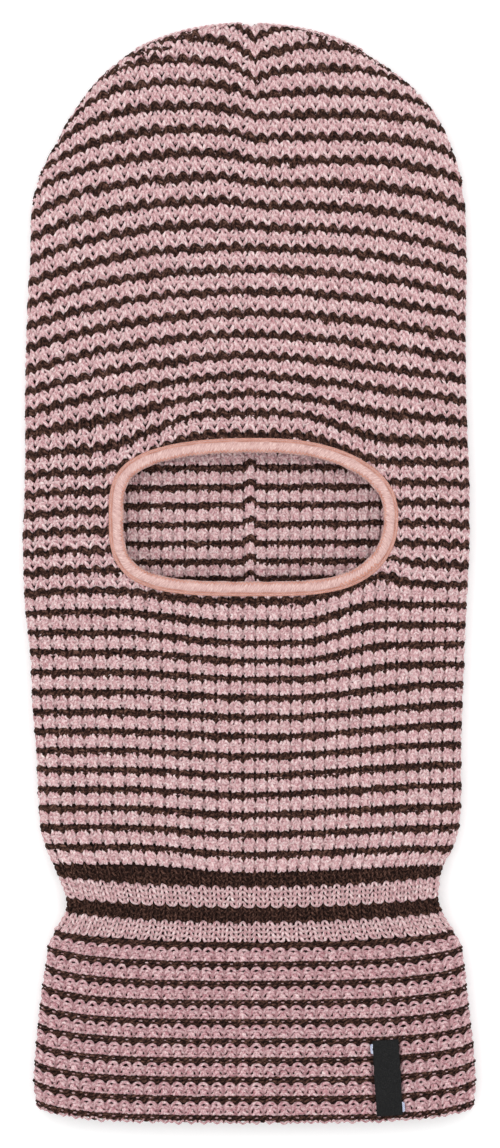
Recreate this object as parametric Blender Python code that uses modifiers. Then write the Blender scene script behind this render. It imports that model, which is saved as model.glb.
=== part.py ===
"""Knitted balaclava lying flat, front side up.

+X is across the front, +Y runs to the crown and +Z is up, away from the surface that it lies on.
The head, the ribbed neck and the collar are flattened knit tubes. Each is a front layer and two
back halves that meet the front at the side folds and each other at the centre-back seam.
Every distance called depth is measured down the garment from the top of the crown.
"""

import math

import bmesh
import bpy
from mathutils import Matrix

# Overall size
LENGTH = 0.467
THICKNESS = 0.015
KNIT = 0.0036
GAP = 0.0003
FOLD_REACH = 0.012

# Outline of one side: a superellipse crown, then half widths at depths down the edge
CROWN_WIDTH = 0.092
CROWN_DEPTH = 0.091
CROWN_POWER = 2.1
SIDE_KNOTS = (
    (0.091, 0.0920),
    (0.162, 0.0930),
    (0.205, 0.0943),
    (0.245, 0.0920),
    (0.300, 0.0892),
    (0.338, 0.0878),
    (0.356, 0.0825),
    (0.370, 0.0784),
    (0.379, 0.0805),
    (0.386, 0.0855),
    (0.400, 0.0890),
    (0.425, 0.0920),
    (0.446, 0.0932),
    (0.457, 0.0915),
)
# How far the middle of a course hangs below its ends, at depths down the edge
BOW_KNOTS = ((0.245, 0.0), (0.346, 0.0038), (0.371, 0.0040), (0.400, 0.0055), (0.457, 0.0100))

# Where the knit changes, as depths down the edge
HEAD_END = 0.3470
NECK_END = 0.3800
COLLAR_END = 0.4545
HEM_END = 0.4570

# Steps of the lofts
CROWN_STEPS = 12
FOLD_STEPS = 5
FLAT_STEPS = 3
HEAD_STEPS = 10
NECK_STEPS = 5
COLLAR_STEPS = 6

# Eye opening: the middle line of its binding
EYE_X = 0.0017
EYE_DEPTH = 0.2079
EYE_HALF_WIDTH = 0.0573
EYE_HALF_HEIGHT = 0.0297
EYE_POWER = 2.9
EYE_POWER_SIDEWAYS = 0.5
EYE_POWER_UPWARD = 0.4
EYE_POINTS = 64
BINDING_RADIUS = 0.0030
BINDING_RISE = 0.0018
THREAD_RADIUS = 0.0004
THREAD_POINTS = 48
JOIN_ANGLE = math.radians(-47)
JOIN_LENGTH = 0.0080
JOIN_RADIUS = 0.0007

# Seams, as round ridges lying in slots between the panels
SEAM_RADIUS = 0.0018
SLOT = SEAM_RADIUS + GAP
FRONT_DART_LENGTH = 0.037
SIDE_DART_REACH = 0.050
CROWN_SEAM_CLEAR = 0.0050
SIDE_DART_START = 0.02
SIDE_DART_SPAN = 0.31
DART_STEPS = 8

# Woven label on the collar
LABEL_X = 0.0580
LABEL_DEPTH = 0.4434
LABEL_SIZE = (0.0111, 0.0318, 0.0008)
LABEL_TURN = math.radians(3.4)
TACK_LENGTH = 0.0042
TACK_RADIUS = 0.0004

MIDDLE = THICKNESS / 2
CROWN_Y = LENGTH / 2

PINK = (0.70, 0.45, 0.46)
BROWN = (0.050, 0.025, 0.018)
SATIN = (0.72, 0.43, 0.37)
THREAD = (0.66, 0.30, 0.20)
BLACK = (0.02, 0.02, 0.02)
TACK = (0.52, 0.55, 0.70)


def clear_scene():
    """Empties the scene of objects left from before."""
    for old in list(bpy.data.objects):
        bpy.data.objects.remove(old, do_unlink=True)


def collection(name):
    """A new collection in the scene."""
    made = bpy.data.collections.new(name)
    bpy.context.scene.collection.children.link(made)
    return made


def fabric(name, colour, roughness):
    """A plain cloth material of the part's own."""
    made = bpy.data.materials.new(name)
    made.use_nodes = True
    shader = made.node_tree.nodes["Principled BSDF"]
    shader.inputs["Base Color"].default_value = (*colour, 1.0)
    shader.inputs["Roughness"].default_value = roughness
    shader.inputs["Metallic"].default_value = 0.0
    return made


def smooth_through(knots, at):
    """The height at a place on the smooth curve through (place, height) knots."""
    places = [k[0] for k in knots]
    heights = [k[1] for k in knots]
    if at <= places[0]:
        return heights[0]
    if at >= places[-1]:
        return heights[-1]
    slopes = []
    for i in range(len(knots)):
        low, high = max(i - 1, 0), min(i + 1, len(knots) - 1)
        slopes.append((heights[high] - heights[low]) / (places[high] - places[low]))
    i = max(k for k in range(len(knots) - 1) if places[k] <= at)
    span = places[i + 1] - places[i]
    t = (at - places[i]) / span
    return (
        heights[i] * (2 * t**3 - 3 * t**2 + 1)
        + heights[i + 1] * (3 * t**2 - 2 * t**3)
        + slopes[i] * span * (t**3 - 2 * t**2 + t)
        + slopes[i + 1] * span * (t**3 - t**2)
    )


def depth_to_y(depth):
    """The Y of a depth below the crown."""
    return CROWN_Y - depth


# A station is (edge x, edge y, y of the middle line, bow): one course of the flattened tube


def crown_edge(share):
    """A point on the crown's outline, from its top at 0 to its side at 1."""
    angle = share * math.pi / 2
    x = CROWN_WIDTH * math.sin(angle) ** (2 / CROWN_POWER)
    depth = CROWN_DEPTH * (1 - abs(math.cos(angle)) ** (2 / CROWN_POWER))
    return x, depth_to_y(depth)


def crown_stations():
    """Rays that fan out from the middle of the crown to its outline, top first."""
    middle = depth_to_y(CROWN_DEPTH)
    return [(*crown_edge(i / CROWN_STEPS), middle, 0.0) for i in range(CROWN_STEPS)]


def side_stations(start, end, steps):
    """Courses below the crown, evenly spaced down the edge."""
    made = []
    for i in range(steps + 1):
        depth = start + (end - start) * i / steps
        width = smooth_through(SIDE_KNOTS, depth)
        made.append((width, depth_to_y(depth), depth_to_y(depth), smooth_through(BOW_KNOTS, depth)))
    return made


def half_row(station, inset, side):
    """Points of one course from the side fold to the middle, inset below the outer surface."""
    edge_x, edge_y, middle_y, bow = station
    reach = math.hypot(edge_x, middle_y - edge_y)
    quarter = math.pi / 2
    places = []
    for step in range(FOLD_STEPS + 1):
        angle = quarter * step / FOLD_STEPS
        places.append((inset + (FOLD_REACH - inset) * (1 - math.cos(angle)), angle))
    for step in range(1, FLAT_STEPS + 1):
        places.append((FOLD_REACH + (reach - FOLD_REACH) * step / FLAT_STEPS, quarter))
    row = []
    for inward, angle in places:
        x = edge_x * (1 - inward / reach)
        y = edge_y + (middle_y - edge_y) * inward / reach
        if bow:
            y -= bow * (1 - (x / edge_x) ** 2)
        rise = GAP / 2 + (MIDDLE - GAP / 2 - inset) * math.sin(angle)
        row.append((x, y, MIDDLE + side * rise))
    return row


def full_row(station, inset, side):
    """Points of one course from the right fold to the left fold."""
    right = half_row(station, inset, side)
    return right + [(-x, y, z) for x, y, z in reversed(right[:-1])]


def skin_between(mesh, rows):
    """Faces between rows of vertices."""
    for above, below in zip(rows, rows[1:]):
        for i in range(len(above) - 1):
            mesh.faces.new((above[i], above[i + 1], below[i + 1], below[i]))


def panel(name, stations, side, closed_at_top):
    """One knit layer: an outer and an inner loft joined round their edges."""
    mesh = bmesh.new()
    outer = [[mesh.verts.new(p) for p in full_row(s, 0.0, side)] for s in stations]
    inner = [[mesh.verts.new(p) for p in full_row(s, KNIT, side)] for s in stations]
    skin_between(mesh, outer)
    skin_between(mesh, inner)
    skin_between(mesh, [[row[0] for row in outer], [row[0] for row in inner]])
    skin_between(mesh, [[row[-1] for row in outer], [row[-1] for row in inner]])
    skin_between(mesh, [outer[-1], inner[-1]])
    if not closed_at_top:
        skin_between(mesh, [outer[0], inner[0]])
    return finish_mesh(name, mesh)


def ring(name, stations):
    """A band right round the flattened tube, front and back in one."""
    mesh = bmesh.new()
    loops = []
    for inset in (0.0, KNIT):
        for station in stations:
            front = full_row(station, inset, 1)
            back = full_row(station, inset, -1)
            loops.append([mesh.verts.new(p) for p in front + list(reversed(back))])
    outer, inner = loops[: len(stations)], loops[len(stations) :]
    walls = [*zip(outer, outer[1:]), *zip(inner, inner[1:])]
    ends = [(outer[0], inner[0]), (outer[-1], inner[-1])]
    for above, below in walls + ends:
        skin_between(mesh, [above + above[:1], below + below[:1]])
    return finish_mesh(name, mesh)


def finish_mesh(name, mesh):
    """Welds coincident points, turns the faces outward and makes the object."""
    bmesh.ops.remove_doubles(mesh, verts=mesh.verts, dist=1e-6)
    bmesh.ops.recalc_face_normals(mesh, faces=mesh.faces)
    data = bpy.data.meshes.new(name)
    mesh.to_mesh(data)
    mesh.free()
    data.shade_smooth()
    data.set_sharp_from_angle(angle=math.radians(40))
    return bpy.data.objects.new(name, data)


def box_cutter(name, low, high):
    """A box between two corners, for cutting."""
    mesh = bmesh.new()
    size = [b - a for a, b in zip(low, high)]
    centre = [(a + b) / 2 for a, b in zip(low, high)]
    bmesh.ops.create_cube(mesh, size=1.0, matrix=Matrix.Translation(centre) @ Matrix.Diagonal((*size, 1.0)))
    data = bpy.data.meshes.new(name)
    mesh.to_mesh(data)
    mesh.free()
    return as_cutter(bpy.data.objects.new(name, data))


def as_cutter(obj):
    """Keeps a cutter out of the finished part."""
    obj.hide_render = True
    obj.display_type = "WIRE"
    cutters.objects.link(obj)
    return obj


def eye_point(angle, outward):
    """A point round the eye opening, outward of the binding's middle line."""
    power = EYE_POWER - EYE_POWER_SIDEWAYS * math.cos(angle) - EYE_POWER_UPWARD * math.sin(angle)
    cosine, sine = math.cos(angle), math.sin(angle)
    x = math.copysign(abs(cosine) ** (2 / power), cosine) * (EYE_HALF_WIDTH + outward)
    y = math.copysign(abs(sine) ** (2 / power), sine) * (EYE_HALF_HEIGHT + outward)
    return EYE_X + x, depth_to_y(EYE_DEPTH) + y


def eye_cutter():
    """A prism of the eye opening out to the binding's outer edge."""
    outward = BINDING_RADIUS + GAP
    mesh = bmesh.new()
    outline = []
    for i in range(EYE_POINTS):
        x, y = eye_point(2 * math.pi * i / EYE_POINTS, outward)
        outline.append(mesh.verts.new((x, y, MIDDLE)))
    bottom = mesh.faces.new(outline)
    grown = bmesh.ops.extrude_face_region(mesh, geom=[bottom])
    top = [v for v in grown["geom"] if isinstance(v, bmesh.types.BMVert)]
    bmesh.ops.translate(mesh, verts=top, vec=(0, 0, THICKNESS))
    bmesh.ops.recalc_face_normals(mesh, faces=mesh.faces)
    data = bpy.data.meshes.new("eye_cutter")
    mesh.to_mesh(data)
    mesh.free()
    return as_cutter(bpy.data.objects.new("eye_cutter", data))


def cut(obj, cutter):
    """Takes a cutter's shape out of an object."""
    modifier = obj.modifiers.new("cut_" + cutter.name, "BOOLEAN")
    modifier.operation = "DIFFERENCE"
    modifier.solver = "EXACT"
    modifier.object = cutter


def rod(name, points, radius, cyclic=False):
    """A round cord of fabric or thread along points."""
    curve = bpy.data.curves.new(name, "CURVE")
    curve.dimensions = "3D"
    curve.bevel_depth = radius
    curve.bevel_resolution = 2
    curve.use_fill_caps = not cyclic
    spline = curve.splines.new("POLY")
    spline.points.add(len(points) - 1)
    for place, point in zip(spline.points, points):
        place.co = (*point, 1.0)
    spline.use_cyclic_u = cyclic
    spline.use_smooth = True
    return bpy.data.objects.new(name, curve)


def keep(obj, parts, material):
    """Adds a finished piece to the part."""
    obj.data.materials.append(material)
    parts.objects.link(obj)
    return obj


def make_layers(parts):
    """The front layers and the back halves of the head, neck and collar, and the hem."""
    head = crown_stations() + side_stations(CROWN_DEPTH, HEAD_END - GAP / 2, HEAD_STEPS)
    neck = side_stations(HEAD_END + GAP / 2, NECK_END - GAP / 2, NECK_STEPS)
    collar = side_stations(NECK_END + GAP / 2, COLLAR_END - GAP / 2, COLLAR_STEPS)
    hem = side_stations(COLLAR_END + GAP / 2, HEM_END, 1)

    far = LENGTH
    eye = eye_cutter()
    side_darts = box_cutter(
        "side_dart_cutter",
        (-SIDE_DART_REACH, crown_edge(0.5)[1], MIDDLE - SLOT),
        (SIDE_DART_REACH, far, MIDDLE + SLOT),
    )
    front_dart = box_cutter(
        "front_dart_cutter",
        (-SLOT, depth_to_y(FRONT_DART_LENGTH), MIDDLE),
        (SLOT, far, THICKNESS + SLOT),
    )
    right_and_seam = box_cutter("right_cutter", (-SLOT, -far, -SLOT), (far, far, MIDDLE + SLOT))
    left_and_seam = box_cutter("left_cutter", (-far, -far, -SLOT), (SLOT, far, MIDDLE + SLOT))

    for name, stations, closed in (("head", head, True), ("neck", neck, False), ("collar", collar, False)):
        front_name = "neck_rib_front" if name == "neck" else name + "_front"
        front = panel(front_name, stations, 1, closed)
        keep(front, parts, fabric(front_name, PINK, 0.9))
        halves = []
        for half, cutter in (("left", right_and_seam), ("right", left_and_seam)):
            back_name = f"neck_rib_back_{half}" if name == "neck" else f"{name}_back_{half}"
            back = panel(back_name, stations, -1, closed)
            cut(back, cutter)
            keep(back, parts, fabric(back_name, PINK, 0.9))
            halves.append(back)
        if name == "head":
            cut(front, eye)
            cut(front, front_dart)
            for layer in (front, *halves):
                cut(layer, side_darts)
    keep(ring("collar_hem", hem), parts, fabric("collar_hem", BROWN, 0.9))


def make_seams(parts):
    """The linked seams: centre back, crown front and the two sides of the crown."""
    raised = SEAM_RADIUS
    runs = (
        ("head_back_seam", CROWN_SEAM_CLEAR, HEAD_END - GAP / 2, 16),
        ("neck_back_seam", HEAD_END + GAP / 2, NECK_END - GAP / 2, 4),
        ("collar_back_seam", NECK_END + GAP / 2, COLLAR_END - GAP / 2, 6),
    )
    for name, start, end, steps in runs:
        points = []
        for i in range(steps + 1):
            depth = start + (end - start) * i / steps
            drop = smooth_through(BOW_KNOTS, depth)
            rise = fold_profile(depth) if name == "head_back_seam" else raised
            points.append((0.0, depth_to_y(depth) - drop, rise))
        keep(rod(name, points, SEAM_RADIUS), parts, fabric(name, PINK, 0.9))

    front = []
    for i in range(DART_STEPS + 1):
        depth = CROWN_SEAM_CLEAR + (FRONT_DART_LENGTH - GAP - CROWN_SEAM_CLEAR) * i / DART_STEPS
        front.append((0.0, depth_to_y(depth), THICKNESS - fold_profile(depth)))
    keep(rod("crown_dart_front", front, SEAM_RADIUS), parts, fabric("crown_dart_front", PINK, 0.9))

    for name, side in (("crown_dart_left", -1), ("crown_dart_right", 1)):
        points = []
        for i in range(DART_STEPS + 1):
            x, y = crown_edge(SIDE_DART_START + SIDE_DART_SPAN * i / DART_STEPS)
            middle = depth_to_y(CROWN_DEPTH)
            inward = SEAM_RADIUS / math.hypot(x, y - middle)
            points.append((side * x * (1 - inward), y - (y - middle) * inward, MIDDLE))
        keep(rod(name, points, SEAM_RADIUS), parts, fabric(name, PINK, 0.9))


def fold_profile(depth):
    """Height of the back layer's middle above the surface it lies on, near the crown's fold."""
    flat_height = KNIT / 2
    inward = max(0.0, 1 - (depth - flat_height) / (FOLD_REACH - flat_height))
    return MIDDLE - (MIDDLE - flat_height) * math.sqrt(max(0.0, 1 - inward**2))


def make_eye_opening(parts):
    """The rolled binding, its two rows of stitches and the bar that closes its ends."""
    height = THICKNESS + BINDING_RISE - BINDING_RADIUS
    turn = 2 * math.pi
    middle = [(*eye_point(turn * i / EYE_POINTS, 0.0), height) for i in range(EYE_POINTS)]
    keep(rod("eye_binding", middle, BINDING_RADIUS, True), parts, fabric("eye_binding", SATIN, 0.6))

    beside = BINDING_RADIUS + THREAD_RADIUS
    lay = THICKNESS + GAP + THREAD_RADIUS
    outer = [(*eye_point(turn * i / THREAD_POINTS, beside), lay) for i in range(THREAD_POINTS)]
    keep(rod("binding_stitches_outer", outer, THREAD_RADIUS, True), parts, fabric("outer_thread", THREAD, 0.7))
    low = height - 2 * THREAD_RADIUS
    near = -beside - GAP
    inner = [(*eye_point(turn * i / THREAD_POINTS, near), low) for i in range(THREAD_POINTS)]
    keep(rod("binding_stitches_inner", inner, THREAD_RADIUS, True), parts, fabric("inner_thread", THREAD, 0.7))

    x, y = eye_point(JOIN_ANGLE, 0.0)
    ahead_x, ahead_y = eye_point(JOIN_ANGLE + 0.05, 0.0)
    length = math.hypot(ahead_x - x, ahead_y - y)
    along_x, along_y = (ahead_x - x) / length, (ahead_y - y) / length
    top = height + BINDING_RADIUS + GAP + JOIN_RADIUS
    bar = []
    for i in range(5):
        shift = JOIN_LENGTH * (i / 4 - 0.5)
        bar.append((x + along_x * shift, y + along_y * shift, top))
    keep(rod("binding_join", bar, JOIN_RADIUS), parts, fabric("binding_join", SATIN, 0.6))


def make_label(parts):
    """The woven label on the collar and the two tack stitches that hold it."""
    width, length, thickness = LABEL_SIZE
    centre_y = depth_to_y(LABEL_DEPTH)
    bottom = THICKNESS + GAP
    bpy.ops.mesh.primitive_cube_add(size=1.0)
    label = bpy.context.object
    label.name = "woven_label"
    label.data.transform(Matrix.Diagonal((width, length, thickness, 1.0)))
    label.location = (LABEL_X, centre_y, bottom + thickness / 2)
    label.rotation_euler = (0.0, 0.0, LABEL_TURN)
    for owner in list(label.users_collection):
        owner.objects.unlink(label)
    rounded = label.modifiers.new("rounded_edges", "BEVEL")
    rounded.width = thickness / 4
    rounded.segments = 2
    keep(label, parts, fabric("woven_label", BLACK, 0.7))

    place = Matrix.Translation((LABEL_X, centre_y, 0.0)) @ Matrix.Rotation(LABEL_TURN, 4, "Z")
    height = bottom + thickness + GAP + TACK_RADIUS
    for name, side in (("label_tack_upper", -1), ("label_tack_lower", 1)):
        x = side * width / 2
        y = -side * (length / 2 - TACK_LENGTH / 2)
        ends = [(x, y + TACK_LENGTH * share, height) for share in (-0.5, 0.0, 0.5)]
        points = [place @ Matrix.Translation(end).to_translation() for end in ends]
        keep(rod(name, points, TACK_RADIUS), parts, fabric(name, TACK, 0.7))


clear_scene()
balaclava = collection("balaclava")
cutters = collection("cutters")
make_layers(balaclava)
make_seams(balaclava)
make_eye_opening(balaclava)
make_label(balaclava)
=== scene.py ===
"""Looks of the knitted balaclava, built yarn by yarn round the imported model.

Units are metres unless a name or comment says millimetres (MM). The garment lies flat, front up:
+X is across the front, +Y runs to the crown, +Z is up. A depth is measured down from the crown.
A stitch is drawn in three numbers: u in stitches across, v in stripes up, h in millimetres out.
"""

import math
from collections import namedtuple

import bmesh
import bpy
import numpy as np
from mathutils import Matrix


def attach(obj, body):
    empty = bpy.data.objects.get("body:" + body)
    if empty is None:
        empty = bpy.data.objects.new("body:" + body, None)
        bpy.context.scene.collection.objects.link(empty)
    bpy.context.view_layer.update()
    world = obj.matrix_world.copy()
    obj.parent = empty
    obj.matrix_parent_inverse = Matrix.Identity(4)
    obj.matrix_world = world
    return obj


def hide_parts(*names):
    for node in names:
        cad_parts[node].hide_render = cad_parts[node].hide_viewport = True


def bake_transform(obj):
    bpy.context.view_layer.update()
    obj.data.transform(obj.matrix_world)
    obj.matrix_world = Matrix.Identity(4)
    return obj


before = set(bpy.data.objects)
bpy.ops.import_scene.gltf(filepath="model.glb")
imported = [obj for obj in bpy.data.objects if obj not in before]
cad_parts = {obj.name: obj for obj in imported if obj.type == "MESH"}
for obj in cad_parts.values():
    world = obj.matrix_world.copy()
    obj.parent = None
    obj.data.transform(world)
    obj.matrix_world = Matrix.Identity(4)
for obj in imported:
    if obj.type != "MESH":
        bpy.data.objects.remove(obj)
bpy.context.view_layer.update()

MM = 0.001

# Size and outline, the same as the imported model's
LENGTH = 0.467
THICKNESS = 0.015
MIDDLE = THICKNESS / 2
CROWN_Y = LENGTH / 2
FOLD_REACH = 0.012
CROWN_WIDTH = 0.092
CROWN_DEPTH = 0.091
CROWN_POWER = 2.1
SIDE_KNOTS = (
    (0.091, 0.0920), (0.162, 0.0930), (0.205, 0.0943), (0.245, 0.0920), (0.300, 0.0892),
    (0.338, 0.0878), (0.356, 0.0825), (0.370, 0.0784), (0.379, 0.0805), (0.386, 0.0855),
    (0.400, 0.0890), (0.425, 0.0920), (0.446, 0.0932), (0.457, 0.0915),
)
EYE_X = 0.0017
EYE_DEPTH = 0.2079
EYE_HALF_WIDTH = 0.0573
EYE_HALF_HEIGHT = 0.0297
EYE_POWER = 2.9
EYE_POWER_SIDEWAYS = 0.5
EYE_POWER_UPWARD = 0.4
BINDING_HEIGHT = 0.0138
BINDING_RADIUS = 0.0027
LIP_OUT = 0.0026
LIP_HEIGHT = 0.0141
LIP_RADIUS = 0.0010
# The stitches at the binding's join: where they are, how many steps to either side, the thread's
# radius, which is also the step, how far off the roll's middle they start, and how far they reach
JOIN_ANGLE = math.radians(-47)
JOIN_STEPS = 40
JOIN_RADIUS = 0.00022
JOIN_NEAR = 0.0008
JOIN_REACH = 0.0016
LABEL_X = 0.0580
LABEL_DEPTH = 0.4434
LABEL_SIZE = (0.0111, 0.0318)
LABEL_THICK = 0.0007
LABEL_TURN = math.radians(3.4)
LABEL_TOP = THICKNESS + 0.0003 + LABEL_THICK
# The label's tacks: how far from its middle, and each stitch's place outside its edge and length
TACK_DOWN = 0.0125
TACK_STITCHES = ((0.0001, 0.0042), (0.0006, 0.0038))

# The middle surface of the knit, inset from the outside, and its fold at the sides
INSET = 0.0019
FOLD_ACROSS = FOLD_REACH - INSET
FOLD_UP = MIDDLE - INSET
# The dark sheet behind the stitches, painted shade for the gaps between them, between these heights in
# millimetres
SHADE_SHEET_OUTER = -0.45
SHADE_SHEET_INNER = -0.85
# How far the yarns run past the side fold and into the eye opening, and the shade sheet into it
YARN_PAST_EDGE = 0.0002
SHADE_SHEET_PAST_EDGE = 0.0005

# How far the knit lies outside that even outline, in millimetres: (depth, distance)
LEFT_EXTRA = (
    (0, 0.6), (4, 1.0), (12, 1.3), (20, 0.8), (31, -0.5), (45, -1.2), (54, -0.9), (64, 0.8), (80, 0.9),
    (100, 1.0), (117, 1.9), (160, 2.4), (180, 1.5), (205, 1.5), (218, 2.5), (243, 3.4), (268, 2.3),
    (285, 2.5), (300, 2.0), (320, 1.2), (345, 1.1), (356, 0.4), (370, -0.4), (382, 0.9), (394, -1.2),
    (430, -1.5), (457, -1.0),
)
RIGHT_EXTRA = (
    (0, 0.4), (8, 0.8), (16, 0.7), (28, 1.6), (40, 2.1), (54, 1.3), (66, 1.0), (80, 0.0), (100, 0.0),
    (117, -0.4), (140, -0.9), (185, -0.8), (205, -1.0), (218, -0.4), (230, 0.0), (268, 0.4),
    (310, 1.0), (330, 1.3), (345, 1.1), (356, -0.4), (366, 1.4), (382, 4.8), (394, 3.4), (410, 2.6),
    (445, 3.2), (457, 3.8),
)

# Where each stripe of the head runs, in millimetres of depth: (stripe, depth)
FRONT_CENTRES = (
    (-2, -21.5), (0, -1.5), (2, 17.9), (6, 56.8), (9, 85.7), (12, 113.2), (15, 139.9),
    (19, 173.5), (25, 243.2), (30, 283.9), (34, 316.7), (38, 349.9), (39, 358.4),
)
BACK_CENTRES = (
    (-2, -21.5), (0, -1.5), (2, 17.9), (6, 56.8), (9, 85.7), (12, 113.2), (15, 141.0),
    (20, 186.8), (24, 218.5), (29, 264.0), (34, 312.0), (38, 349.9), (39, 358.4),
)
LEFT_EDGES = (
    (-2, -5.0), (0, 14.9), (5, 64.5), (8, 92.3), (11, 118.9), (15, 155.6), (19, 190.5),
    (25, 240.0), (28, 264.8), (31, 289.9), (34, 314.2), (38, 346.5), (39, 354.8),
)
RIGHT_EDGES = (
    (-2, -15.5), (0, 4.4), (3, 34.1), (5, 54.5), (8, 87.0), (11, 115.5), (15, 150.4),
    (19, 185.5), (25, 236.6), (28, 261.6), (31, 286.9), (34, 312.2), (38, 347.0), (39, 355.4),
)
# How sharply a stripe bends down towards its ends over the face: (stripe, power)
LEFT_POWERS = ((0, 5.0), (5, 4.4), (8, 2.75), (10, 2.5), (13, 2.0), (16, 1.5), (19, 1.25))
RIGHT_POWERS = ((0, 5.0), (6, 4.2), (8, 3.3), (10, 2.5), (12, 2.0), (15, 1.3), (19, 1.0))
# Between which shares of the half width a stripe below the opening rises: (stripe, share)
LEFT_RISE_STARTS = ((25, 0.12), (28, 0.0), (38, 0.0))
LEFT_RISE_ENDS = ((25, 0.62), (28, 0.60), (38, 0.62))
RIGHT_RISE_STARTS = ((25, 0.20), (28, 0.22), (31, 0.15), (34, 0.0), (38, -0.1))
RIGHT_RISE_ENDS = ((25, 0.56), (28, 0.66), (31, 0.95), (34, 0.95), (38, 1.1))
# Between which shares a stripe beside the opening drops, and how far its end droops then
LEFT_SHOULDER = (0.17, 0.70)
RIGHT_SHOULDER = (0.20, 0.64)
LEFT_DROOP = 1.6
RIGHT_DROOP = 0.8
# How far the stripes near the opening's lower right corner are lifted, and where: middle, spread
CORNER_LIFT = 4.0
CORNER_STRIPES = (24.6, 0.9)
CORNER_SHARES = (0.61, 0.09)
# The front crown dart, which pulls the stripes down, in millimetres: (stripe, dip)
DART_DIPS = ((0, 8.8), (1, 7.3), (2, 6.0), (3, 4.0), (4, 2.3), (6, 1.3), (8, 0.4), (10, 0.0))
DART_X = 1.9
DART_SPREAD = 9.2
DART_STEP = 1.55
DART_STEP_SPREAD = 8.4
BACK_GATHER = 2.2
BACK_GATHER_SPREAD = 3.0
# Stitches left and right of the middle, here and below
HEAD_WALES = (16.5, 18.5)

# The back layer's rows as the eye opening shows them from inside, which are nearly straight
INSIDE_CENTRES = (
    (-2, 170.2), (-1, 178.6), (0, 187.0), (1, 195.2), (2, 202.8), (3, 210.9),
    (4, 218.9), (5, 226.6), (6, 233.9), (7, 241.6), (8, 249.2),
)
INSIDE_WALES = (19.5, 19.5)
INSIDE_TILT = 0.008
INSIDE_GATHER = 2.4
INSIDE_GATHER_X = 0.5
INSIDE_GATHER_SPREAD = 2.4
INSIDE_FACE = (-1.35, -1.0)
INSIDE_MARGIN = 0.006

# Where the head's shade sheet ends, and how far it rises there towards the sides
HEAD_END = 0.349
HEAD_END_RISE = 0.004

# The neck's courses and the collar's stripes, in millimetres: the depth of the first, how far
# apart they are, and the half width over which they rise towards the sides
NECK_TOP = 352.0
NECK_PITCH = 2.13
NECK_RISE = 4.3
# A brown or a pink course, or none where the head's last blocks hang
NECK_COURSES = "   bbbppppbbbpppp"
NECK_WALES = (16.0, 16.0)
NECK_BUNCHING = 0.11
NECK_WIDTH = 81.0
NECK_END = len(NECK_COURSES) + 0.2

COLLAR_TOP = 387.7
COLLAR_PITCH = 8.08
COLLAR_STRIPES = 10
COLLAR_WALES = (17.0, 17.0)
COLLAR_BUNCHING = 0.02
COLLAR_WIDTH = 91.0
COLLAR_END = COLLAR_STRIPES - 1 + 0.12

# Radii of the sewing's yarn and thread in millimetres
SEAM_RADIUS = 0.72
EDGE_SEAM_RADIUS = 0.70
TACK_RADIUS = 0.28

# Unevenness: in stitches across, stripes up, millimetres out, and as shares of a radius
UNEVEN_ACROSS = 0.024
UNEVEN_UP = 0.020
UNEVEN_OUT = 0.12
UNEVEN_RADIUS = 0.06
FUZZ = 0.10
UNEVEN_POST = 0.02

# A linked seam's two yarns: how far they go round each other, sideways in metres and outward in
# millimetres, and over what length. Along the crown's fold it is in metres, apart from the seam's
# ends and turns, which are shares of a quarter turn round the crown
SEAM_SWAY = 0.0009
SEAM_RISE = 0.35
SEAM_TURN = 0.0062
EDGE_SEAM_ENDS = (0.02, 0.33)
EDGE_SEAM_TURN = 0.035
EDGE_SEAM_INSET = 0.0008
EDGE_SEAM_SWAY = 0.0005
EDGE_SEAM_RISE = 0.0008

# Stitches, as points from the middle of the link between two stitches to the stitch's own middle.
# A core, dot or fill is all of a short strand, at a stitch's middle or at the link's
BROWN_UPPER = ((-0.5, -0.13, 0.1), (-0.36, -0.05, 0.5), (-0.19, 0.11, 0.7), (0.0, 0.20, 0.3))
BROWN_LOWER = ((-0.5, -0.27, 0.2), (-0.34, -0.21, 0.5), (-0.16, -0.06, 0.4), (0.0, 0.02, -0.1))
PINK_UPPER = (
    (-0.50, 0.02, -0.9), (-0.26, 0.02, -0.7), (-0.17, -0.09, 0.1), (-0.26, -0.21, 0.8),
    (-0.42, -0.36, 0.5), (-0.30, -0.44, 0.0), (0.0, -0.38, -0.2),
)
PINK_LOWER = (
    (-0.50, -0.40, -0.7), (-0.30, -0.42, -0.4), (-0.17, -0.50, 0.3), (-0.24, -0.62, 0.8),
    (-0.38, -0.77, 0.7), (-0.42, -0.86, 0.1), (-0.25, -0.83, -0.3), (0.0, -0.73, -0.1),
)
PINK_CORE = ((0.0, -0.10, -0.7), (0.0, -0.28, -0.1), (0.0, -0.62, -0.05), (0.0, -0.80, -0.4))
PINK_FILL = ((0.5, -0.24, -0.5), (0.5, -0.44, -0.15), (0.5, -0.58, -0.7))
BROWN_UPPER_LOW = ((-0.5, -0.06, 0.15), (-0.36, -0.01, 0.5), (-0.19, 0.09, 0.65), (0.0, 0.14, 0.3))
BROWN_LOWER_LOW = ((-0.5, -0.24, 0.2), (-0.34, -0.19, 0.45), (-0.16, -0.10, 0.35), (0.0, -0.06, 0.0))
PINK_UPPER_LOW = (
    (-0.50, -0.18, -1.0), (-0.41, -0.16, -0.5), (-0.34, -0.12, 0.3), (-0.20, -0.20, 0.8),
    (-0.31, -0.30, 0.75), (-0.36, -0.42, 0.5), (-0.17, -0.46, 0.6), (0.0, -0.38, 0.8),
)
PINK_LOWER_LOW = (
    (-0.50, -0.52, -0.9), (-0.41, -0.52, -0.4), (-0.33, -0.55, 0.3), (-0.17, -0.63, 0.8),
    (-0.27, -0.73, 0.75), (-0.33, -0.83, 0.4), (-0.15, -0.81, 0.5), (0.0, -0.70, 0.7),
)
PINK_FILL_LOW = ((0.5, -0.24, -0.85), (0.5, -0.48, -0.5), (0.5, -0.74, -0.8))
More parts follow.
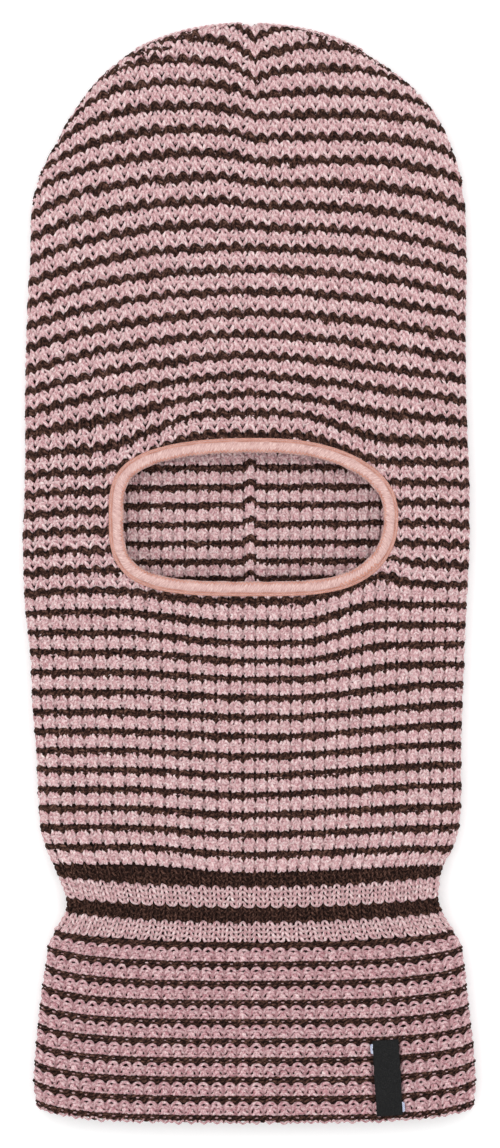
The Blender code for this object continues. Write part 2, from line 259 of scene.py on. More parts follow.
RIB_STITCH = (
    (-0.5, -0.30, -0.55), (-0.36, -0.28, -0.35), (-0.22, -0.10, 0.3), (-0.17, 0.20, 0.75),
    (-0.13, 0.55, 0.5), (0.0, 0.72, -0.3),
)
RIB_FILL = ((0.5, -0.5, -0.8), (0.5, 0.0, -0.55), (0.5, 0.5, -0.8))
COLLAR_BROWN_UPPER = ((-0.5, 0.02, 0.35), (-0.34, 0.06, 0.65), (-0.17, 0.08, 0.3), (0.0, 0.05, 0.1))
COLLAR_BROWN_LOWER = ((-0.5, -0.17, 0.3), (-0.34, -0.14, 0.1), (-0.17, -0.08, 0.55), (0.0, -0.09, 0.3))
COLLAR_ARCH = (
    (-0.5, -0.50, -0.9), (-0.40, -0.45, -0.2), (-0.30, -0.35, 0.4), (-0.20, -0.26, 0.7),
    (-0.10, -0.225, 0.75), (0.0, -0.215, 0.6),
)
COLLAR_BOWL = (
    (-0.5, -0.68, -1.1), (-0.41, -0.63, -0.3), (-0.32, -0.53, 0.5), (-0.20, -0.43, 0.85),
    (-0.09, -0.46, 0.9), (0.0, -0.50, 0.8),
)
COLLAR_SCALLOP = (
    (-0.5, -0.78, -1.1), (-0.40, -0.83, -0.3), (-0.28, -0.83, 0.5), (-0.14, -0.75, 0.8),
    (0.0, -0.68, 0.9),
)
COLLAR_CORE = ((0.0, -0.58, -0.8), (0.0, -0.67, 0.05), (0.0, -0.79, -0.3))
COLLAR_FILL = ((0.5, -0.34, -0.9), (0.5, -0.56, -0.65), (0.5, -0.80, -0.9))
COLLAR_DOT = ((-0.13, -1.03, 0.1), (0.0, -1.00, 0.95), (0.13, -1.03, 0.1))
CAST_OFF = ((-0.5, -0.24, 0.2), (-0.36, -0.16, 0.6), (-0.22, -0.20, 0.6), (0.0, -0.30, 0.3))

# What is worked over the same stripes: strands of (stitch, points in it, radius in millimetres)
HIGH_BLOCK = (
    (PINK_UPPER, 16, 0.80), (PINK_LOWER, 16, 0.80), (PINK_CORE, 4, 0.98), (PINK_FILL, 3, 0.90),
)
MIDDLE_BLOCK = (
    (PINK_UPPER_LOW, 16, 0.76), (PINK_LOWER, 16, 0.76), (PINK_CORE, 4, 1.05), (PINK_FILL, 3, 0.90),
)
LOW_BLOCK = (
    (PINK_UPPER_LOW, 16, 0.74), (PINK_LOWER_LOW, 16, 0.74), (PINK_CORE, 4, 1.2),
    (PINK_FILL_LOW, 3, 0.90),
)
HIGH_WAVE = ((BROWN_UPPER, 10, 0.94), (BROWN_LOWER, 9, 0.94))
LOW_WAVE = ((BROWN_UPPER_LOW, 10, 0.94), (BROWN_LOWER_LOW, 9, 0.94))
RIB = ((RIB_STITCH, 11, 0.66), (RIB_FILL, 3, 0.75))
COLLAR_BLOCK = (
    (COLLAR_ARCH, 11, 0.72), (COLLAR_BOWL, 11, 0.70), (COLLAR_SCALLOP, 11, 0.70),
    (COLLAR_CORE, 3, 1.60), (COLLAR_FILL, 3, 0.90), (COLLAR_DOT, 4, 0.36),
)
COLLAR_BAND = ((COLLAR_BROWN_UPPER, 8, 0.76), (COLLAR_BROWN_LOWER, 8, 0.76))
HEM_EDGE = ((CAST_OFF, 10, 0.50),)

# The head's pieces: (colour, first stripe, stripe after the last, strands)
HEAD_BANDS = (
    ("pink", -2, 8, HIGH_BLOCK), ("pink", 8, 16, HIGH_BLOCK), ("pink", 16, 25, MIDDLE_BLOCK),
    ("pink", 25, 32, LOW_BLOCK), ("pink", 32, 38, LOW_BLOCK),
    ("brown", -2, 12, HIGH_WAVE), ("brown", 12, 25, HIGH_WAVE), ("brown", 25, 39, LOW_WAVE),
)

# A layer: its stripes' depths, inside and at the side fold, its stitches either side of the
# middle, 1 for the front or -1 for the back, how much its stitches bunch towards the sides, and
# the height of its face and which way is out of it
Layer = namedtuple("Layer", "depth_of edge_of wales side bunching face", defaults=(0.0, (0.0, 1.0)))
Run = namedtuple("Run", "points normals radius kept")


def srgb(red, green, blue):
    """A colour as seen on a screen, from 0 to 255, as linear light."""
    made = []
    for value in (red, green, blue):
        share = value / 255
        made.append(share / 12.92 if share <= 0.04045 else ((share + 0.055) / 1.055) ** 2.4)
    return (*made, 1.0)


def smooth_through(knots, at):
    """The heights at places on the smooth curve through (place, height) knots."""
    places, heights = np.array(knots, float).T
    order = np.arange(len(places))
    low = np.maximum(order - 1, 0)
    high = np.minimum(order + 1, len(places) - 1)
    slopes = (heights[high] - heights[low]) / (places[high] - places[low])
    at = np.clip(at, places[0], places[-1])
    i = np.clip(np.searchsorted(places, at, side="right") - 1, 0, len(places) - 2)
    span = places[i + 1] - places[i]
    t = (at - places[i]) / span
    return (
        heights[i] * (2 * t**3 - 3 * t**2 + 1)
        + heights[i + 1] * (3 * t**2 - 2 * t**3)
        + slopes[i] * span * (t**3 - 2 * t**2 + t)
        + slopes[i + 1] * span * (t**3 - t**2)
    )


def by_side(x, left_knots, right_knots, at):
    """The heights on one smooth curve left of the middle and on another right of it."""
    return np.where(x < 0, smooth_through(left_knots, at), smooth_through(right_knots, at))


def smoothstep(low, high, at):
    """From 0 at low to 1 at high, with level ends."""
    t = np.clip((at - low) / (high - low), 0.0, 1.0)
    return t * t * (3 - 2 * t)


def bell(at, middle, spread):
    """1 at the middle, and less and less away from it."""
    return np.exp(-(((at - middle) / spread) ** 2))


def fold_table():
    """Arc length round a quarter of the side fold against its angle."""
    angle = np.linspace(0.0, math.pi / 2, 241)
    speed = np.hypot(FOLD_ACROSS * np.sin(angle), FOLD_UP * np.cos(angle))
    steps = (speed[1:] + speed[:-1]) / 2 * np.diff(angle)
    return np.concatenate([[0.0], np.cumsum(steps)]), angle


FOLD_ARC, FOLD_ANGLE = fold_table()
FOLD_LENGTH = FOLD_ARC[-1]
FOLD_SPARE = FOLD_LENGTH - FOLD_ACROSS


def flat_half_width(depth):
    """Half the width of one layer if its side folds were rolled out flat."""
    return smooth_through(SIDE_KNOTS, depth) - INSET + FOLD_SPARE


def crown_reach(out_x, out_y):
    """How far the crown's outline is from the middle of its fan, along a direction."""
    return (
        (np.abs(out_x) / CROWN_WIDTH) ** CROWN_POWER + (np.abs(out_y) / CROWN_DEPTH) ** CROWN_POWER
    ) ** (-1 / CROWN_POWER)


def outline_extra(x, edge_depth):
    """How far the knit lies outside the even outline, at a depth of it."""
    return by_side(x, LEFT_EXTRA, RIGHT_EXTRA, edge_depth / MM) * MM


def lay(x, y, h, side):
    """Points of the knit in space, from its rolled-out place and its height off the middle surface.

    Also gives how far inside the side fold's line each point is.
    """
    fan_y = CROWN_Y - CROWN_DEPTH
    in_crown = y > fan_y
    from_y = np.where(in_crown, fan_y, y)
    reach = np.hypot(x, y - from_y)
    safe = np.maximum(reach, 1e-9)
    out_x = np.where(in_crown, x / safe, np.sign(x))
    out_y = np.where(in_crown, (y - from_y) / safe, 0.0)
    crown = crown_reach(out_x, np.where(reach < 1e-8, 1.0, out_y))
    edge_depth = np.where(in_crown, CROWN_DEPTH - out_y * crown, CROWN_Y - y)
    edge = np.where(in_crown, crown, smooth_through(SIDE_KNOTS, CROWN_Y - y)) - INSET
    inward = edge + FOLD_SPARE - reach
    angle = np.interp(inward, FOLD_ARC, FOLD_ANGLE)
    folded = edge - FOLD_ACROSS * (1 - np.cos(angle))
    place = np.where(inward > FOLD_LENGTH, reach, folded)
    place = place * (1 + outline_extra(x, edge_depth) / edge)
    lean = np.cos(angle) / FOLD_ACROSS
    lift = np.sin(angle) / FOLD_UP
    size = np.hypot(lean, lift)
    normal = np.stack([out_x * lean / size, out_y * lean / size, side * lift / size], axis=-1)
    base = np.stack(
        [out_x * place, from_y + out_y * place, MIDDLE + side * FOLD_UP * np.sin(angle)], axis=-1
    )
    return base + normal * h[..., None], normal, inward


def crown_half_width(depth):
    """Half width of the crown's outline at a depth, in millimetres."""
    up = np.clip(1 - depth * MM / CROWN_DEPTH, 0.0, 1.0)
    return CROWN_WIDTH / MM * (1 - up**CROWN_POWER) ** (1 / CROWN_POWER)


def head_edge(stripe, x):
    """Depth of a stripe of the head where it meets the side fold, in millimetres."""
    return by_side(x, LEFT_EDGES, RIGHT_EDGES, stripe)


def head_depth(stripe, x, centres):
    """Depth of a stripe of the head at x, both in millimetres."""
    left = x < 0
    centre = smooth_through(centres, stripe)
    edge = head_edge(stripe, x)
    width = np.where(
        edge > CROWN_DEPTH / MM,
        smooth_through(SIDE_KNOTS, edge * MM) / MM,
        crown_half_width(edge),
    )
    t = np.minimum(np.abs(x) / np.maximum(width, 20.0), 1.1)
    arch = t ** by_side(x, LEFT_POWERS, RIGHT_POWERS, stripe)
    shoulder = np.where(left, smoothstep(*LEFT_SHOULDER, t), smoothstep(*RIGHT_SHOULDER, t))
    start = by_side(x, LEFT_RISE_STARTS, RIGHT_RISE_STARTS, stripe)
    end = by_side(x, LEFT_RISE_ENDS, RIGHT_RISE_ENDS, stripe)
    lower = smoothstep(start, end, t)
    shape = arch + (shoulder - arch) * smoothstep(16, 19, stripe)
    shape = shape + (lower - shape) * smoothstep(20, 25, stripe)
    beside_eye = smoothstep(17, 19, stripe) * (1 - smoothstep(24, 27, stripe))
    droop = np.where(left, LEFT_DROOP, RIGHT_DROOP) * beside_eye
    corner = np.where(left, 0.0, CORNER_LIFT) * bell(stripe, *CORNER_STRIPES)
    return (
        centre
        + (edge - droop - centre) * shape
        + droop * smoothstep(0.75, 1.0, t)
        - corner * bell(t, *CORNER_SHARES)
    )


def front_dart(stripe, x):
    """How far the crown dart pulls the front's stripes down."""
    dip = smooth_through(DART_DIPS, stripe) * np.exp(-np.abs(x - DART_X) / DART_SPREAD)
    step = DART_STEP * np.tanh(x / DART_STEP_SPREAD) * (1 - smoothstep(7, 11, stripe))
    return dip + step


def front_head(stripe, x):
    """Depth of the front layer's stripes."""
    return head_depth(stripe, x, FRONT_CENTRES) + front_dart(stripe, x)


def back_head(stripe, x):
    """Depth of the back layer's stripes, which rise where the centre seam gathers them."""
    return head_depth(stripe, x, BACK_CENTRES) - BACK_GATHER * bell(x, 0.0, BACK_GATHER_SPREAD)


def inside_depth(row, x):
    """Depth of a row of the back layer's inner face, lifted where the centre seam gathers it."""
    lift = INSIDE_GATHER * bell(x, INSIDE_GATHER_X, INSIDE_GATHER_SPREAD)
    return smooth_through(INSIDE_CENTRES, row) - INSIDE_TILT * x - lift


def inside_edge(row, x):
    """Depth of a row of the back layer's inner face at the side fold."""
    return smooth_through(INSIDE_CENTRES, row) + 0 * x


def neck_depth(course, x):
    """Depth of a course of the neck rib at x, both in millimetres."""
    return NECK_TOP + NECK_PITCH * course - NECK_RISE * np.minimum(np.abs(x) / NECK_WIDTH, 1.1) ** 2


def neck_edge(course, x):
    """Depth of a course of the neck rib at the side fold."""
    return neck_depth(course, NECK_WIDTH + 0 * x)


def collar_depth(stripe, x):
    """Depth of a stripe of the collar at x, which rises towards its ends, gently then sharply."""
    t = np.minimum(np.abs(x) / COLLAR_WIDTH, 1.05)
    down = smoothstep(0, 5, stripe)
    gentle, sharp = 3.0 - 1.4 * down, 5.5 - 1.0 * down
    return COLLAR_TOP + COLLAR_PITCH * stripe - gentle * t**2 - sharp * t**6


def collar_edge(stripe, x):
    """Depth of a stripe of the collar at the side fold."""
    return collar_depth(stripe, COLLAR_WIDTH + 0 * x)


HEAD_FRONT = Layer(front_head, head_edge, HEAD_WALES, 1)
HEAD_BACK = Layer(back_head, head_edge, HEAD_WALES, -1)
HEAD_INSIDE = Layer(inside_depth, inside_edge, INSIDE_WALES, -1, face=INSIDE_FACE)
NECK_FRONT = Layer(neck_depth, neck_edge, NECK_WALES, 1, NECK_BUNCHING)
NECK_BACK = Layer(neck_depth, neck_edge, NECK_WALES, -1, NECK_BUNCHING)
COLLAR_FRONT = Layer(collar_depth, collar_edge, COLLAR_WALES, 1, COLLAR_BUNCHING)
COLLAR_BACK = Layer(collar_depth, collar_edge, COLLAR_WALES, -1, COLLAR_BUNCHING)


def rounded(points, samples, whole=False):
    """Points spread along the smooth curve through given ones, which repeat if it is a whole stitch."""
    count = len(points) - 1
    t = np.arange(samples) / (samples if whole else samples - 1) * count
    i = np.minimum(np.floor(t).astype(int), count - (0 if whole else 1))
    f = (t - i)[:, None]
    step = points[-1] - points[0]

    def at(j):
        if whole:
            return points[j % count] + np.outer(j // count, step)
        return points[np.clip(j, 0, count)]

    p0, p1, p2, p3 = at(i - 1), at(i), at(i + 1), at(i + 2)
    return 0.5 * (
        2 * p1
        + (p2 - p0) * f
        + (2 * p0 - 5 * p1 + 4 * p2 - p3) * f**2
        + (3 * p1 - p0 - 3 * p2 + p3) * f**3
    )


def course(half, samples, wales):
    """A whole course of stitches from one side fold to the other."""
    left = np.array(half, float)
    one = rounded(np.vstack([left, left[-2::-1] * (-1, 1, 1)]), samples, whole=True)
    starts = np.arange(-wales[0] + 0.5, wales[1], 1.0)
    run = np.concatenate([one + (start, 0, 0) for start in starts])
    return np.vstack([run, one[:1] + (starts[-1] + 1, 0, 0)])


def uneven(random, rows, u, size, per_wale=2):
    """Smooth unevenness along each row, of about a given size."""
    low, high = math.floor(u.min()) - 1, math.ceil(u.max()) + 1
    places = np.arange(low * per_wale, high * per_wale + 1) / per_wale
    made = []
    for _ in range(rows):
        made.append(np.interp(u, places, random.normal(0.0, size, len(places))))
    return np.array(made)


def eye_outline(angle, outward):
    """Points round the eye opening, outward of the binding's middle line."""
    power = EYE_POWER - EYE_POWER_SIDEWAYS * np.cos(angle) - EYE_POWER_UPWARD * np.sin(angle)
    cosine, sine = np.cos(angle), np.sin(angle)
    x = np.sign(cosine) * np.abs(cosine) ** (2 / power) * (EYE_HALF_WIDTH + outward)
    y = np.sign(sine) * np.abs(sine) ** (2 / power) * (EYE_HALF_HEIGHT + outward)
    return EYE_X + x, CROWN_Y - EYE_DEPTH + y


def inside_eye(x, y, outward):
    """Whether points are inside the eye opening's outline."""
    edge_x, edge_y = eye_outline(np.linspace(-math.pi, math.pi, 241), outward)
    middle_y = CROWN_Y - EYE_DEPTH
    turns = np.unwrap(np.arctan2(edge_y - middle_y, edge_x - EYE_X))
    reach = np.hypot(edge_x - EYE_X, edge_y - middle_y)
    turn = np.arctan2(y - middle_y, x - EYE_X)
    return np.hypot(x - EYE_X, y - middle_y) < np.interp(turn, turns, reach, period=2 * math.pi)


def along_frames(points, normals):
    """Two directions square to each run of points, carried along it without twisting."""
    tangents = np.gradient(points, axis=1)
    tangents /= np.maximum(np.linalg.norm(tangents, axis=2, keepdims=True), 1e-12)
    first = np.empty_like(points)
    guide = normals[:, 0]
    for i in range(points.shape[1]):
        t = tangents[:, i]
        guide = guide - (guide * t).sum(1, keepdims=True) * t
        guide = guide / np.maximum(np.linalg.norm(guide, axis=1, keepdims=True), 1e-12)
        first[:, i] = guide
    return first, np.cross(tangents, first)


def tube_rings(run, sides):
    """Vertices of the kept rings of a run's tubes, and the number of each ring, or -1."""
    first, second = along_frames(run.points, run.normals)
    turn = 2 * math.pi * np.arange(sides) / sides
    around = np.cos(turn)[:, None] * first[:, :, None, :] + np.sin(turn)[:, None] * second[:, :, None, :]
    rings = run.points[:, :, None, :] + run.radius[:, :, None, None] * around
    index = np.full(run.kept.shape, -1)
    index[run.kept] = np.arange(run.kept.sum())
    return rings[run.kept].reshape(-1, 3), index


def tube_faces(run, sides, index, starts, closed):
    """Faces of a run's tubes and their yarn coordinates: turns round, and millimetres along."""
    points = run.points
    if closed:
        points = np.concatenate([points, points[:, :1]], axis=1)
        index = np.concatenate([index, index[:, :1]], axis=1)
    both = (index[:, :-1] >= 0) & (index[:, 1:] >= 0)
    here = index[:, :-1][both][:, None] * sides
    ahead = index[:, 1:][both][:, None] * sides
    side = np.arange(sides)
    following = (side + 1) % sides
    quads = np.stack(
        [here + side, ahead + side, ahead + following, here + following], axis=-1
    )

    steps = np.linalg.norm(np.diff(points, axis=1), axis=2) / MM
    along = starts[:, None] + np.pad(np.cumsum(steps, axis=1), ((0, 0), (1, 0)))
    from_s = along[:, :-1][both][:, None].repeat(sides, 1)
    to_s = along[:, 1:][both][:, None].repeat(sides, 1)
    low = np.broadcast_to(side / sides, from_s.shape)
    high = np.broadcast_to((side + 1) / sides, from_s.shape)
    corners = ((low, from_s), (low, to_s), (high, to_s), (high, from_s))
    uv = np.stack([np.stack(corner, axis=-1) for corner in corners], axis=2)
    return quads.reshape(-1, 4), uv.reshape(-1, 2)


def beside(kept):
    """Whether the points before and after each one are kept."""
    return np.pad(kept, ((0, 0), (1, 0)))[:, :-1], np.pad(kept, ((0, 0), (0, 1)))[:, 1:]


def tube_caps(kept, sides, index):
    """Flat ends of a run's tubes."""
    before, after = beside(kept)
    side = np.arange(sides)
    starts = index[kept & ~before][:, None] * sides + side
    ends = index[kept & ~after][:, None] * sides + side[::-1]
    return np.concatenate([starts, ends])


def yarn_mesh(name, runs, random, sides=6, closed=False):
    """Round yarn along runs of points, where they are kept, all in one object."""
    vertices, quads, caps, uvs = [], [], [], []
    base = 0
    for run in runs:
        rings, index = tube_rings(run, sides)
        starts = random.uniform(0.0, 900.0, len(index))
        faces, uv = tube_faces(run, sides, index, starts, closed)
        vertices.append(rings)
        quads.append(faces + base)
        uvs.append(uv)
        if not closed:
            caps.append(tube_caps(run.kept, sides, index) + base)
        base += len(rings)
    groups = [np.concatenate(quads)]
    if caps:
        groups.append(np.concatenate(caps))
        uvs.append(np.zeros((groups[1].size, 2)))
    return mesh_from(name, np.concatenate(vertices), groups, np.concatenate(uvs))


def mesh_from(name, vertices, face_groups, uv):
    """A smooth mesh object from arrays of vertices and of faces of one size each."""
    data = bpy.data.meshes.new(name)
    data.vertices.add(len(vertices))
    data.vertices.foreach_set("co", np.asarray(vertices, np.float32).ravel())
    corners = np.concatenate([g.ravel() for g in face_groups])
    sizes = np.concatenate([np.full(len(g), g.shape[1]) for g in face_groups])
    data.loops.add(len(corners))
    data.loops.foreach_set("vertex_index", corners.astype(np.int32))
    data.polygons.add(len(sizes))
    firsts = np.concatenate([[0], np.cumsum(sizes)[:-1]])
    data.polygons.foreach_set("loop_start", firsts.astype(np.int32))
    data.update(calc_edges=True)
    layer = data.uv_layers.new(name="yarn")
    layer.data.foreach_set("uv", np.asarray(uv, np.float32).ravel())
    data.shade_smooth()
    return linked(name, data)


def linked(name, data):
    """An object of some data, in the scene."""
    made = bpy.data.objects.new(name, data)
    bpy.context.scene.collection.objects.link(made)
    return made


def linked_bmesh(name, mesh):
    """An object of a bmesh, which ends here, in the scene."""
    data = bpy.data.meshes.new(name)
    mesh.to_mesh(data)
    mesh.free()
    return linked(name, data)


def in_strands(kept):
    """Kept points that have a kept neighbour, so that no strand is a single ring."""
    before, after = beside(kept)
    return kept & (before | after)


def upright_run(points, radius):
    """One whole line of yarn, kept upright as it goes."""
    points = points[None]
    size = np.full(points.shape[:2], radius)
    return Run(points, np.zeros_like(points) + (0, 0, 1), size, size > 0)


def laid_run(layer, u, stripe, h, radius):
    """A run of yarn laid into a layer of the garment."""
    edge = layer.edge_of(stripe, u) * MM
    half_width = flat_half_width(np.maximum(edge, CROWN_DEPTH))
    left, right = layer.wales
    share = np.where(u < 0, u / left, u / right)
    x = half_width * share * (1 + layer.bunching * (1 - share**2))
    y = CROWN_Y - layer.depth_of(stripe, x / MM) * MM
    base, way = layer.face
    points, normals, inward = lay(x, y, (base + way * h) * MM, layer.side)
    kept = inward > -YARN_PAST_EDGE
    if layer.side > 0:
        kept &= ~inside_eye(points[..., 0], points[..., 1], -YARN_PAST_EDGE)
    return Run(points, normals, radius * MM + 0 * h, in_strands(kept))


def courses_of(layer, half, samples, stripes, radius, random):
    """Courses of one kind of stitch, right across a layer."""
    path = course(half, samples, layer.wales)
    rows = len(stripes)
    across = path[:, 0]
    u = across + uneven(random, rows, across, UNEVEN_ACROSS)
    v = path[:, 1] + uneven(random, rows, across, UNEVEN_UP)
    h = path[:, 2] + uneven(random, rows, across, UNEVEN_OUT)
    thick = 1 + uneven(random, rows, across, UNEVEN_RADIUS) + random.normal(0, FUZZ, u.shape)
    stripe = np.array(stripes, float)[:, None] - v
    return laid_run(layer, u, stripe, h, radius * thick)


def posts_of(layer, shape, samples, stripes, radius, random):
    """A short strand at the middle of every stitch of some courses."""
    path = rounded(np.array(shape, float), samples)
    centres, rows = np.meshgrid(np.arange(-layer.wales[0] + 0.5, layer.wales[1], 1.0), stripes)
    centres = centres.reshape(-1, 1) + random.normal(0, UNEVEN_POST, (centres.size, 1))
    u = centres + path[:, 0]
    stripe = rows.reshape(-1, 1) - path[:, 1]
    h = path[:, 2] + random.normal(0, FUZZ, (len(centres), 1))
    return laid_run(layer, u, stripe, h, radius)


def worked(layer, strands, stripes, random):
    """Runs of yarn for some strands: courses of those that span a stitch, posts of the rest."""
    runs = []
    for shape, samples, radius in strands:
        spans = shape[0][0] == -0.5
        work = courses_of if spans else posts_of
        runs.append(work(layer, shape, samples, stripes, radius, random))
    return runs


# --- materials ---


def add_node(tree, kind, settings=(), **inputs):
    """A shader node with its settings and its inputs, which are values or other nodes' outputs."""
    made = tree.nodes.new(kind)
    for name, value in dict(settings).items():
        setattr(made, name, value)
    for name, value in inputs.items():
        socket = made.inputs[int(name[1:])] if name[0] == "_" else made.inputs[name]
        if isinstance(value, bpy.types.NodeSocket):
            tree.links.new(value, socket)
        else:
            socket.default_value = value
    return made


def maths(tree, operation, *values):
    """The result of a maths node."""
    inputs = {f"_{i}": value for i, value in enumerate(values)}
    return add_node(tree, "ShaderNodeMath", {"operation": operation}, **inputs).outputs[0]


def noise(tree, vector, scale, detail=2.0):
    """A noise from about 0.3 to 0.7."""
    inputs = {"Vector": vector, "Scale": scale, "Detail": detail}
    return add_node(tree, "ShaderNodeTexNoise", **inputs).outputs[0]


def colours(tree, share, stops):
    """Colours along a ramp."""
    ramp = add_node(tree, "ShaderNodeValToRGB", Fac=share)
    elements = ramp.color_ramp.elements
    elements[0].position, elements[0].color = stops[0]
    elements[1].position, elements[1].color = stops[-1]
    for position, colour in stops[1:-1]:
        elements.new(position).color = colour
    return ramp.outputs[0]


def yarn_space(tree, around, along):
    """Where a point is on its yarn, seamless round it, as a vector in millimetres."""
    place = add_node(tree, "ShaderNodeUVMap", {"uv_map": "yarn"}).outputs[0]
    split = add_node(tree, "ShaderNodeSeparateXYZ", Vector=place)
    turn = maths(tree, "MULTIPLY", split.outputs[0], 2 * math.pi)
    x = maths(tree, "MULTIPLY", maths(tree, "COSINE", turn), around)
    y = maths(tree, "MULTIPLY", maths(tree, "SINE", turn), around)
    z = maths(tree, "MULTIPLY", split.outputs[1], along)
    vector = add_node(tree, "ShaderNodeCombineXYZ", X=x, Y=y, Z=z).outputs[0]
    return vector, split.outputs[0], split.outputs[1]


def twist(tree, turns, along, plies, lay_length):
    """The rounds and furrows of a yarn's twisted plies, from 0 to 1."""
    lead = maths(tree, "MULTIPLY", along, 2 * math.pi / lay_length)
    turn = maths(tree, "MULTIPLY", turns, 2 * math.pi * plies)
    wave = maths(tree, "SINE", maths(tree, "ADD", lead, turn))
    return maths(tree, "MULTIPLY_ADD", wave, 0.5, 0.5)


def cloth_shader(material, base, height, depth, roughness, sheen):
    """Wires a matt cloth's colour and its relief to its shader."""
    tree = material.node_tree
    shader = tree.nodes["Principled BSDF"]
    bump = add_node(tree, "ShaderNodeBump", Strength=1.0, Distance=depth, Height=height)
    tree.links.new(base, shader.inputs["Base Color"])
    tree.links.new(bump.outputs[0], shader.inputs["Normal"])
    shader.inputs["Roughness"].default_value = roughness
    shader.inputs["Specular IOR Level"].default_value = 0.2
    shader.inputs["Sheen Weight"].default_value = sheen
    shader.inputs["Sheen Roughness"].default_value = 0.5
    return material


def new_material(name):
    """An empty material with its node tree."""
    made = bpy.data.materials.new(name)
    made.use_nodes = True
    return made, made.node_tree


def yarn_material(name, dark, middle, light, plies=2, lay_length=3.0, relief=0.38, sheen=0.0):
    """Soft spun yarn: twisted plies, loose fibres and uneven dye, with painted shade in the plies' furrows
    and painted light on raised fibres.
    """
    made, tree = new_material(name)
    fibre_space, turns, along = yarn_space(tree, 1.0, 0.45)
    patch_space, _, _ = yarn_space(tree, 0.3, 0.16)
    plied = twist(tree, turns, along, plies, lay_length)
    fibres = noise(tree, fibre_space, 3.2, 3.0)
    patches = noise(tree, patch_space, 1.6, 1.0)
    # Colour: the twist paints the plies' furrows darker, painted shade; the fibre noise is the yarn's own
    # heather and also sets the relief, so raised fibres are painted lighter; the patches are uneven dye
    shade = maths(tree, "MULTIPLY", plied, 0.20)
    shade = maths(tree, "MULTIPLY_ADD", fibres, 1.2, shade)
    shade = maths(tree, "MULTIPLY_ADD", patches, 0.4, shade)
    base = colours(tree, maths(tree, "MULTIPLY", shade, 0.5), ((0.34, dark), (0.46, middle), (0.58, light)))
    height = maths(tree, "MULTIPLY_ADD", fibres, 1.6, maths(tree, "MULTIPLY", plied, 0.45))
    return cloth_shader(made, base, height, relief * MM, 0.95, sheen)


def painted_shade_material(name, dark, light):
    """Painted shade: a dark sheet behind the knit's stitches, for the shade in the gaps between them."""
    made, tree = new_material(name)
    place = add_node(tree, "ShaderNodeTexCoord").outputs["Object"]
    grain = noise(tree, place, 900.0, 3.0)
    base = colours(tree, grain, ((0.35, dark), (0.65, light)))
    return cloth_shader(made, base, grain, 0.2 * MM, 0.95, 0.0)


def satin_material(name):
    """Brushed satin, with fine fibres running slantwise round the roll, raised fibres painted lighter."""
    made, tree = new_material(name)
    place = add_node(tree, "ShaderNodeUVMap", {"uv_map": "yarn"}).outputs[0]
    split = add_node(tree, "ShaderNodeSeparateXYZ", Vector=place)
    slant = maths(tree, "MULTIPLY_ADD", split.outputs[0], 9.0, split.outputs[1])
    x = maths(tree, "MULTIPLY", slant, 2.4)
    y = maths(tree, "MULTIPLY", split.outputs[0], 5.0)
    vector = add_node(tree, "ShaderNodeCombineXYZ", X=x, Y=y).outputs[0]
    fibres = noise(tree, vector, 1.6, 3.0)
    # The colour follows the fibres' relief: the streaks are partly the satin's own tone and partly painted
    # sheen on raised fibres
    stops = (
        (0.3, srgb(172, 127, 122)),
        (0.5, srgb(205, 166, 160)),
        (0.7, srgb(234, 207, 200)),
    )
    made = cloth_shader(made, colours(tree, fibres, stops), fibres, 0.12 * MM, 0.6, 0.0)
    made.node_tree.nodes["Principled BSDF"].inputs["Specular IOR Level"].default_value = 0.35
    return made


def label_material(name):
    """A close black weave with fine ribs across, painted darker where it lies low."""
    made, tree = new_material(name)
    place = add_node(tree, "ShaderNodeTexCoord").outputs["Object"]
    split = add_node(tree, "ShaderNodeSeparateXYZ", Vector=place)
    warp = maths(tree, "SINE", maths(tree, "MULTIPLY", split.outputs[0], 2 * math.pi / (0.35 * MM)))
    weft = maths(tree, "SINE", maths(tree, "MULTIPLY", split.outputs[1], 2 * math.pi / (0.28 * MM)))
    weave = maths(tree, "MULTIPLY_ADD", maths(tree, "MULTIPLY", warp, weft), 0.25, 0.5)
    grain = noise(tree, place, 2600.0, 2.0)
    height = maths(tree, "MULTIPLY_ADD", grain, 0.8, maths(tree, "MULTIPLY", weave, 0.6))
    # The colour follows the weave's height: its hollows are painted darker, painted shade, and the grain is
    # partly the threads' own tone
    stops = ((0.45, srgb(8, 8, 9)), (0.7, srgb(21, 21, 22)), (0.95, srgb(44, 44, 44)))
    return cloth_shader(made, colours(tree, height, stops), height, 0.06 * MM, 0.85, 0.0)


def floor_material():
    """Plain pale paper."""
    made, tree = new_material("floor")
    place = add_node(tree, "ShaderNodeTexCoord").outputs["Object"]
    grain = noise(tree, place, 3.0, 1.0)
    base = colours(tree, grain, ((0.3, (0.93, 0.93, 0.93, 1)), (0.7, (0.95, 0.95, 0.95, 1))))
    shader = tree.nodes["Principled BSDF"]
    tree.links.new(base, shader.inputs["Base Color"])
    shader.inputs["Roughness"].default_value = 0.9
    shader.inputs["Emission Color"].default_value = (1, 1, 1, 1)
    shader.inputs["Emission Strength"].default_value = 0.14
    return made


PINK = yarn_material("pink_yarn", srgb(188, 132, 138), srgb(231, 192, 194), srgb(253, 238, 235), sheen=0.08)
# A darker copy of the pink yarn for the collar and hem: painted shade, for the slight shade the collar lies
# in
PINK_SHADED = yarn_material(
    "pink_yarn_shaded", srgb(174, 116, 124), srgb(217, 174, 178), srgb(243, 221, 220), sheen=0.05
)
BROWN = yarn_material("brown_yarn", srgb(12, 4, 3), srgb(56, 31, 24), srgb(122, 88, 76))
YARNS = {"pink": PINK, "brown": BROWN}
